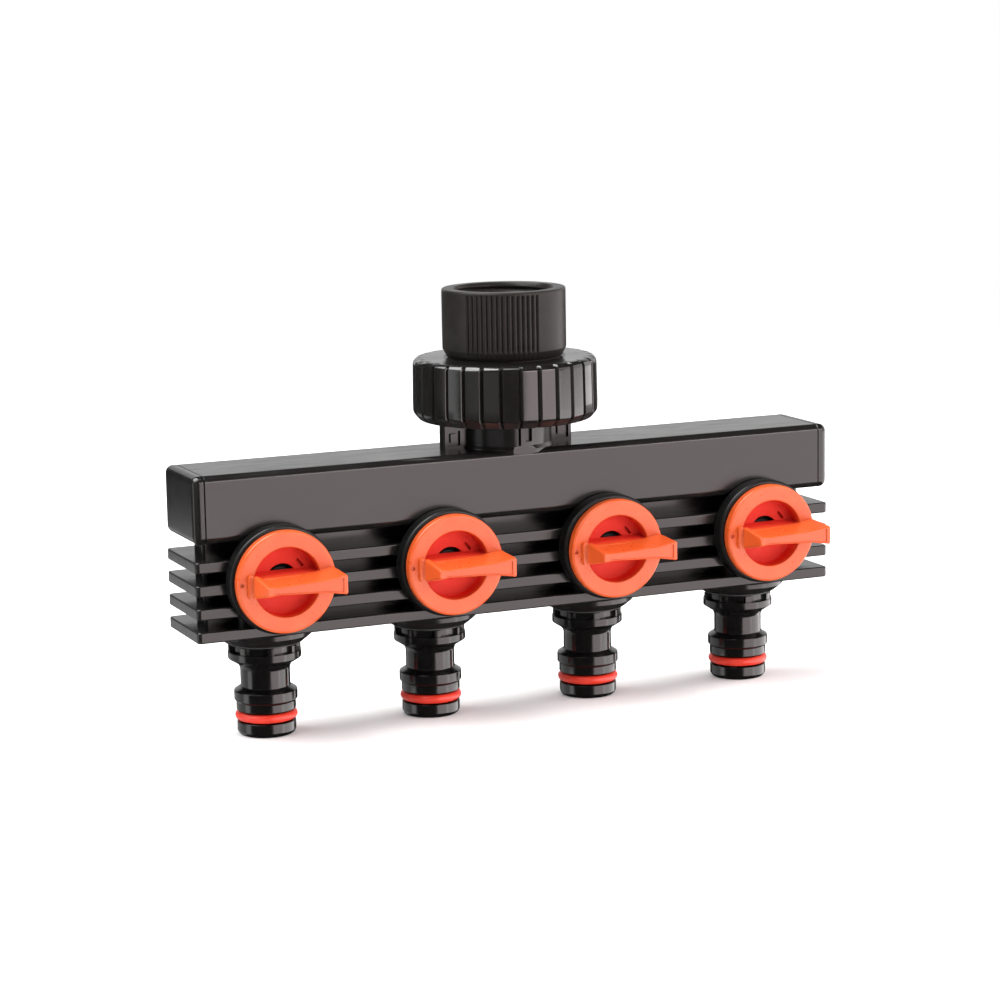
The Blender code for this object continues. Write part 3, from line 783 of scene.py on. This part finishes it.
def flat_ring(name, node, body, inner, segments=96):
    """A flat rubber washer with rounded edges that fills its CAD node's box."""
    low, high = span(node)
    centre = ((low.x + high.x) / 2, (low.y + high.y) / 2, 0)
    outer = (high.x - low.x) / 2
    mesh = bmesh.new()
    turned(mesh, fillet([(inner, low.z), (outer, low.z), (outer, high.z), (inner, high.z)], 0.35, 4,
                        closed=True), segments, centre=centre, closed=True)
    thing = finish_mesh(name, mesh)
    settle(thing, body, "seal_rubber", SEAL_BLACK, node)


def retaining_ring():
    """The split ring in the neck's groove that the nut hangs on."""
    low, high = span("nut_retaining_ring")
    inner, outer = GROOVE_RADIUS + 0.3, NUT_THREAD - 1.0
    sweep = math.radians(318)
    steps = 110
    section = fillet([(inner, low.z), (outer, low.z), (outer, high.z), (inner, high.z)], 0.3, 3, True)
    mesh = bmesh.new()
    rings = []
    for step in range(steps + 1):
        angle = sweep * step / steps
        rings.append([mesh.verts.new((r * math.cos(angle), r * math.sin(angle), z)) for r, z in section])
    bridge(mesh, rings)
    mesh.faces.new(rings[0])
    mesh.faces.new(rings[-1])
    thing = finish_mesh("nut_split_ring", mesh)
    settle(thing, "manifold", "ring_plastic", RING_WHITE, "nut_retaining_ring")


# ---------------------------------------------------------------- knobs

BLADE_HALF = 1.2
BLADE_ROOT = 2.6                                        # half thickness down at the recess floor
HANDLE_RIGHT = 12.6
HANDLE_EDGE = 0.4
LEDGE = 0.12                                            # share of the handle's height
FLOOR_Y = RIM_Y + RECESS_DEPTH                          # the recess's floor


def handle_outline(share):
    """The handle's outline at the rim (share 0) or at its front edge (share 1)."""
    def between(low, high):
        return low + (high - low) * share
    upper_foot, lower_foot = between(3.5, 1.2), between(4.3, 1.35)
    left = between(-9.4, -8.7) if share > LEDGE else -10.5
    flare = between(3.1, 2.6)
    upper = [(HANDLE_RIGHT, flare), (HANDLE_RIGHT - 1.2, flare - 0.25), (7.0, between(2.0, 1.6)),
             (left + 3.0, between(1.5, 1.05)), (left, upper_foot)]
    points = upper + [(left, -lower_foot)] + [(x, -z) for x, z in reversed(upper[:-1])]
    bends = [0.6, 1.2, 2.2, 1.6, 0.7]
    return fillet(points, bends + bends[::-1], 4, closed=True)


def knob_cup():
    """The rimmed cup round the stem's hole."""
    back = RIM_Y + 2.7
    outline = fillet([(STEM_HOLE, FLOOR_Y), (RECESS_RADIUS - 0.15, FLOOR_Y), (RECESS_RADIUS, RIM_Y),
                      (KNOB_RADIUS, RIM_Y), (KNOB_RADIUS - 0.05, back), (10.4, back),
                      (10.3, FLOOR_Y + 1.5), (STEM_HOLE, FLOOR_Y + 1.5)],
                     [0.2, 0.5, 0.35, 0.7, 0.4, 0.3, 0.3, 0.2], 5, closed=True)
    cup = bmesh.new()
    turned(cup, outline, 128, "Y", closed=True)
    return cup


def knob_handle():
    """The blade handle that stands before the rim, with a ledge at its foot and round edges."""
    front = RIM_Y - HANDLE_REACH
    levels = [(RIM_Y + 0.4, handle_outline(0.0)), (RIM_Y, handle_outline(0.0))]
    levels += [(RIM_Y - HANDLE_REACH * share, handle_outline(share))
               for share in (0.06, LEDGE, LEDGE + 0.03, 0.3, 0.45, 0.6, 0.75, 0.9)]
    for step in range(6):
        angle = math.pi / 2 * step / 5
        outline = inset(handle_outline(1.0), HANDLE_EDGE * (1 - math.cos(angle)))
        levels.append((front + HANDLE_EDGE * (1 - math.sin(angle)), outline))
    handle = bmesh.new()
    stack(handle, levels, forward)
    return handle


def knob_marks():
    """Tools for the dimple in the rim, the slot in the recess and the handle's shallow groove."""
    dimple = bmesh.new()
    turned(dimple, fillet([(0, RIM_Y - 1), (0.55, RIM_Y - 1), (0.55, RIM_Y + 0.55), (0, RIM_Y + 0.55)],
                          0.2), 24, "Y", (-12.0, 0, 0.2))
    slot = bmesh.new()
    middle = Vector((4.9, 0, 3.9))
    outline = at(rounded_rectangle(1.3, 0.4, 0.3, 3), middle.x, middle.z)
    stack(slot, [(FLOOR_Y - 0.5, outline), (FLOOR_Y + 1.2, outline)], forward)
    bmesh.ops.rotate(slot, cent=middle, verts=slot.verts,
                     matrix=Matrix.Rotation(math.radians(50), 3, "Y"))
    groove = bmesh.new()
    front = RIM_Y - HANDLE_REACH
    upper = [(11.5, 1.9), (6.3, 1.2), (-7.0, 0.7)]
    outline = fillet(upper + [(x, -z) for x, z in reversed(upper)], 0.3, 3, closed=True)
    stack(groove, [(front - 0.5, outline), (front + 0.3, outline)], forward)
    return [("DIFFERENCE", mesh) for mesh in (dimple, slot, groove)]


def knob(number, tap):
    """The orange knob: rimmed cup, blade handle with a pointer end, and the stem's hole."""
    thing = finish_mesh(f"knob_{number}_handle", knob_cup())
    blade = bmesh.new()
    levels = [(level, rounded_rectangle(RECESS_RADIUS + 0.4, half, 0.3, 3))
              for level, half in ((RIM_Y - 1.0, BLADE_HALF + 0.2), (FLOOR_Y + 0.2, BLADE_ROOT))]
    stack(blade, levels, forward)
    combine(thing, [("UNION", knob_handle()), ("UNION", blade)] + knob_marks(), 30)
    thing.location = tap * MM
    settle(thing, f"tap_{number}", "knob_plastic", KNOB_ORANGE, f"knob_{number}")


PLUG_RADIUS, PLUG_BACK, PLUG_FRONT = 7.55, 6.8, -9.7
SEAL_PLACES = (("rear", 5.0), ("front", -7.2))
SEAL_GROOVE, SEAL_GROOVE_HALF = 5.6, 1.15
STEM_STEP, STEM_END = -13.0, -13.9


def valve_plug(number, tap):
    """The greased plug and stem, with grooves for its O-rings and a cross bore."""
    outline = [(0, PLUG_BACK), (PLUG_RADIUS, PLUG_BACK)]
    for _, middle in SEAL_PLACES:
        back, front = middle + SEAL_GROOVE_HALF, middle - SEAL_GROOVE_HALF
        outline += [(PLUG_RADIUS, back), (SEAL_GROOVE, back), (SEAL_GROOVE, front), (PLUG_RADIUS, front)]
    outline += [(PLUG_RADIUS, PLUG_FRONT), (4.5, PLUG_FRONT), (4.5, STEM_STEP), (3.2, STEM_STEP),
                (3.2, STEM_END), (0, STEM_END)]
    mesh = bmesh.new()
    turned(mesh, fillet(outline, 0.25, 3), 72, "Y")
    thing = finish_mesh(f"valve_plug_{number}_stem", mesh)
    bore = bmesh.new()
    rod(bore, PORT_RADIUS, -9, 9, 40)
    bmesh.ops.rotate(bore, cent=(0, 0, 0), verts=bore.verts, matrix=Matrix.Rotation(math.pi / 2, 3, "Y"))
    key = bmesh.new()
    outline = rounded_rectangle(1.7, 0.45, 0.3, 3)
    stack(key, [(STEM_END - 1.1, outline), (STEM_END + 0.7, outline)], forward)
    combine(thing, [("DIFFERENCE", bore), ("DIFFERENCE", key)])
    thing.location = tap * MM
    settle(thing, f"tap_{number}", "valve_plastic", VALVE_BLACK, f"valve_plug_{number}")


def collar(number, tap):
    """The black collar round the knob's cup."""
    low, high = span(f"tap_collar_{number}")
    radius = (high.x - low.x) / 2
    floor = RIM_Y + 6.0
    mesh = bmesh.new()
    outline = [(4.8, -10.0), (7.6, -10.0), (7.6, COLLAR_BACK), (radius, COLLAR_BACK), (radius, low.y),
               (10.8, low.y), (10.8, floor), (4.8, floor)]
    turned(mesh, fillet(outline, [0.3, 0.4, 0.2, 0.4, 0.8, 0.4, 0.3, 0.3], 4, True), 112, "Y",
           closed=True)
    thing = finish_mesh(f"tap_collar_{number}_ring", mesh)
    weigh(thing)
    thing.location = tap * MM
    settle(thing, "manifold", "collar_plastic", COLLAR_BLACK, f"tap_collar_{number}")


def torus(name, reach, section, axis, centre, sides=(96, 18)):
    """An O-ring of fine mesh: `reach` is the radius of its round section's middle."""
    mesh = bmesh.new()
    around, across = sides
    outline = [(reach + section * math.cos(TAU * i / across), section * math.sin(TAU * i / across))
               for i in range(across)]
    turned(mesh, outline, around, axis, closed=True)
    thing = finish_mesh(name, mesh, 180)
    thing.location = Vector(centre) * MM
    return thing


def tap_seals(number, tap):
    """The plug's two O-rings and the washer round the port above it."""
    for label, y in reversed(SEAL_PLACES):
        thing = torus(f"plug_{label}_seal_{number}", 6.72, 0.86, "Y", (tap.x, y, tap.z), (72, 12))
        settle(thing, f"tap_{number}", "seal_rubber", SEAL_BLACK, f"plug_{label}_oring_{number}")
    flat_ring(f"port_washer_{number}", f"port_seal_{number}", "manifold", 4.0, 48)


# ---------------------------------------------------------------- hose spigots

SPIGOT_SEGMENTS = 180
DOGS = 8                                                # castellations above the flange
DOG_TURN = math.radians(13.5)
DOG_ROOT, DOG_TIP = 8.3, 9.4
DOG_HALF_SHARE = 0.14                                   # half a dog, as a share of the pitch
SHANK_RADIUS = 6.9
ORING_BOTTOM, ORING_TOP = ORING_HEIGHT - 1.45, ORING_HEIGHT + 1.45
SPIGOT_PROFILE = [                                      # radius, height and rounding
    (SPIGOT_BORE, 0.4, 0.4), (5.0, 0.0, 0.2), (7.0, 0.0, 0.9), (7.6, 1.0, 0.8),
    (7.6, ORING_BOTTOM, 0.2), (5.65, ORING_BOTTOM, 0.2), (5.65, ORING_TOP, 0.2), (7.7, ORING_TOP, 0.25),
    (7.7, 8.7, 0.3), (8.2, 9.2, 0.3), (8.2, 11.6, 0.35), (7.6, 12.0, 0.3), (6.45, 12.6, 0.3),
    (6.45, 17.4, 0.8), (6.9, 18.5, 0.5), (9.45, 20.1, 0.3), (9.45, 22.1, 0.25),
    (DOG_ROOT, 22.12, 0.0), (DOG_ROOT, 23.85, 0.0), (SHANK_RADIUS, 23.9, 0.0),
    (SHANK_RADIUS, 30.6, 0.3), (6.5, 31.0, 0.2), (SPIGOT_BORE, 31.0, 0.2)]


def dogs(angle, radius, _level):
    """The teeth round the shank above the flange."""
    if abs(radius - DOG_ROOT) > 0.01:
        return radius
    share = abs((angle - DOG_TURN) * DOGS / TAU % 1.0 - 0.5)
    return DOG_TIP if share < DOG_HALF_SHARE else radius


def hose_spigot(number, tap):
    """The quick-click spigot with its red O-ring and the dark ring under the boss."""
    outline = fillet([(r, height(h)) for r, h, _ in SPIGOT_PROFILE],
                     [bend for _, _, bend in SPIGOT_PROFILE], 4, closed=True)
    mesh = bmesh.new()
    turned(mesh, outline, SPIGOT_SEGMENTS, closed=True, wave=dogs)
    thing = finish_mesh(f"hose_spigot_{number}_turned", mesh)
    weigh(thing)
    thing.location = (tap.x * MM, 0, 0)
    settle(thing, "manifold", "spigot_plastic", SPIGOT_BLACK, f"hose_spigot_{number}")
    thing = torus(f"spigot_seal_{number}", 6.93, 1.15, "Z", (tap.x, 0, height(ORING_HEIGHT)))
    settle(thing, "manifold", "oring_red", ORING_RED, f"spigot_oring_{number}")
    low, high = height(23.98), height(24.42)
    washer = bmesh.new()
    turned(washer, fillet([(7.1, low), (9.3, low), (9.3, high), (7.1, high)], 0.12, 3, True), 96,
           closed=True)
    thing = finish_mesh(f"spigot_washer_{number}", washer)
    thing.location = (tap.x * MM, 0, 0)
    settle(thing, "manifold", "seal_rubber", SEAL_BLACK, f"spigot_gasket_{number}")


# ---------------------------------------------------------------- studio

TARGET = Vector((-2.02, 0.0, height(55.2)))             # what the camera looks at
AZIMUTH, ELEVATION, ROLL = -23.48, 9.91, -1.02
DISTANCE = 772.5
LENS = 104.94
SENSOR = 36.0
LIT_POINT = Vector((0, 0, height(56)))                  # what the softboxes face
FLOOR_RADIUS = 1700.0


def direction(azimuth, elevation):
    """From the object towards a viewer or a light; azimuth 0 is the knobs' side."""
    a, e = math.radians(azimuth), math.radians(elevation)
    return Vector((math.sin(a) * math.cos(e), -math.cos(a) * math.cos(e), math.sin(e)))


def camera():
    """The camera, from the left and a little above."""
    data = bpy.data.cameras.new("photo_camera")
    data.lens = LENS
    data.sensor_width = SENSOR
    data.clip_start, data.clip_end = 0.05, 20.0
    eye = bpy.data.objects.new("photo_camera", data)
    bpy.context.scene.collection.objects.link(eye)
    back = direction(AZIMUTH, ELEVATION)
    eye.location = (TARGET + back * DISTANCE) * MM
    eye.rotation_mode = "QUATERNION"
    rolled = Matrix.Rotation(math.radians(ROLL), 4, "Z").to_quaternion()
    eye.rotation_quaternion = (-back).to_track_quat("-Z", "Y") @ rolled
    bpy.context.scene.camera = eye


def softbox(name, azimuth, elevation, distance, width, tall, radiance, colour=(1, 1, 1),
            lights=True, mirrors=True):
    """An area light, in metres, that faces the object; it may light it, mirror in it or both."""
    data = bpy.data.lights.new(name, "AREA")
    data.shape = "RECTANGLE"
    data.size, data.size_y = width, tall
    data.energy = radiance * math.pi * width * tall
    data.color = colour
    lamp = bpy.data.objects.new(name, data)
    bpy.context.scene.collection.objects.link(lamp)
    aim = direction(azimuth, elevation)
    lamp.location = LIT_POINT * MM + aim * distance
    lamp.rotation_mode = "QUATERNION"
    lamp.rotation_quaternion = (-aim).to_track_quat("-Z", "Y")
    lamp.visible_camera = False
    lamp.visible_diffuse = lights
    lamp.visible_glossy = mirrors


BACKDROP = (1.0, 1.0, 1.0)                              # what the camera sees behind the object
AMBIENT = (0.34, 0.34, 0.345)                           # what lights the surfaces from all round
MIRRORED = (0.03, 0.03, 0.03)                           # what the gloss sees beside the softboxes


def surroundings():
    """A white world for the eye, a soft fill for the surfaces and a dark room in the gloss."""
    world = bpy.data.worlds.new("studio")
    bpy.context.scene.world = world
    world.use_nodes = True
    world.cycles.sampling_method = "NONE"
    tree = world.node_tree
    path = tree.nodes.new("ShaderNodeLightPath")
    last = None
    for colour, ray in ((AMBIENT, None), (MIRRORED, "Is Glossy Ray"), (BACKDROP, "Is Camera Ray")):
        shade = tree.nodes.new("ShaderNodeBackground")
        shade.inputs["Color"].default_value = (*colour, 1)
        if ray is None:
            last = shade.outputs[0]
            continue
        blend = tree.nodes.new("ShaderNodeMixShader")
        tree.links.new(path.outputs[ray], blend.inputs[0])
        tree.links.new(last, blend.inputs[1])
        tree.links.new(shade.outputs[0], blend.inputs[2])
        last = blend.outputs[0]
    tree.links.new(last, tree.nodes["World Output"].inputs["Surface"])


def studio_floor():
    """The paper under the spigots, which takes shadows but doesn't show in the gloss."""
    mesh = bmesh.new()
    bmesh.ops.create_circle(mesh, cap_ends=True, segments=96, radius=FLOOR_RADIUS)
    thing = finish_mesh("studio_floor", mesh)
    thing.location = (0, 0, FLOOR * MM)
    thing.data.materials.append(PAPER)
    thing.visible_glossy = False
    thing.visible_shadow = False


camera()
surroundings()
studio_floor()
ROSY = (1.0, 0.87, 0.87)
WARM = (1.0, 0.94, 0.94)
softbox("key_front_right", 25, -2, 0.80, 0.68, 0.75, 3.2, ROSY)
softbox("key_top_edge", 27, 24, 0.80, 0.70, 0.08, 9.0, ROSY)
softbox("key_right", 84, 2, 0.80, 0.92, 1.00, 5.0, WARM, mirrors=False)
softbox("mirror_right", 80, -19, 0.80, 1.08, 0.44, 3.4, WARM, lights=False)
softbox("mirror_right_high", 84, 13, 0.80, 0.92, 0.46, 1.6, WARM, lights=False)
softbox("back_wall", 157, 14, 1.60, 2.20, 0.95, 0.75, lights=False)
softbox("strip_left", -95, 2, 0.80, 0.28, 0.90, 1.3)
softbox("fill_left", -50, 6, 0.80, 0.62, 0.44, 0.34, lights=False)
softbox("low_left", -126, -29, 0.46, 0.78, 0.30, 0.65, lights=False)
softbox("top_left", -100, 60, 1.00, 1.00, 0.80, 8.0)
softbox("overhead_left", -50, 78, 1.00, 0.60, 0.35, 4.0)
softbox("overhead_wash", 0, 89, 1.60, 2.60, 2.60, 1.0, mirrors=False)
bpy.context.scene.view_settings.view_transform = "Standard"

manifold_body()
end_caps()
union_nut()
inlet_adaptor()
flat_ring("neck_washer", "union_washer", "manifold", 9.2)
flat_ring("mouth_washer", "tap_washer", "adaptor", 9.3)
retaining_ring()
for number, tap in TAPS:
    knob(number, tap)
    valve_plug(number, tap)
    collar(number, tap)
    tap_seals(number, tap)
    hose_spigot(number, tap)
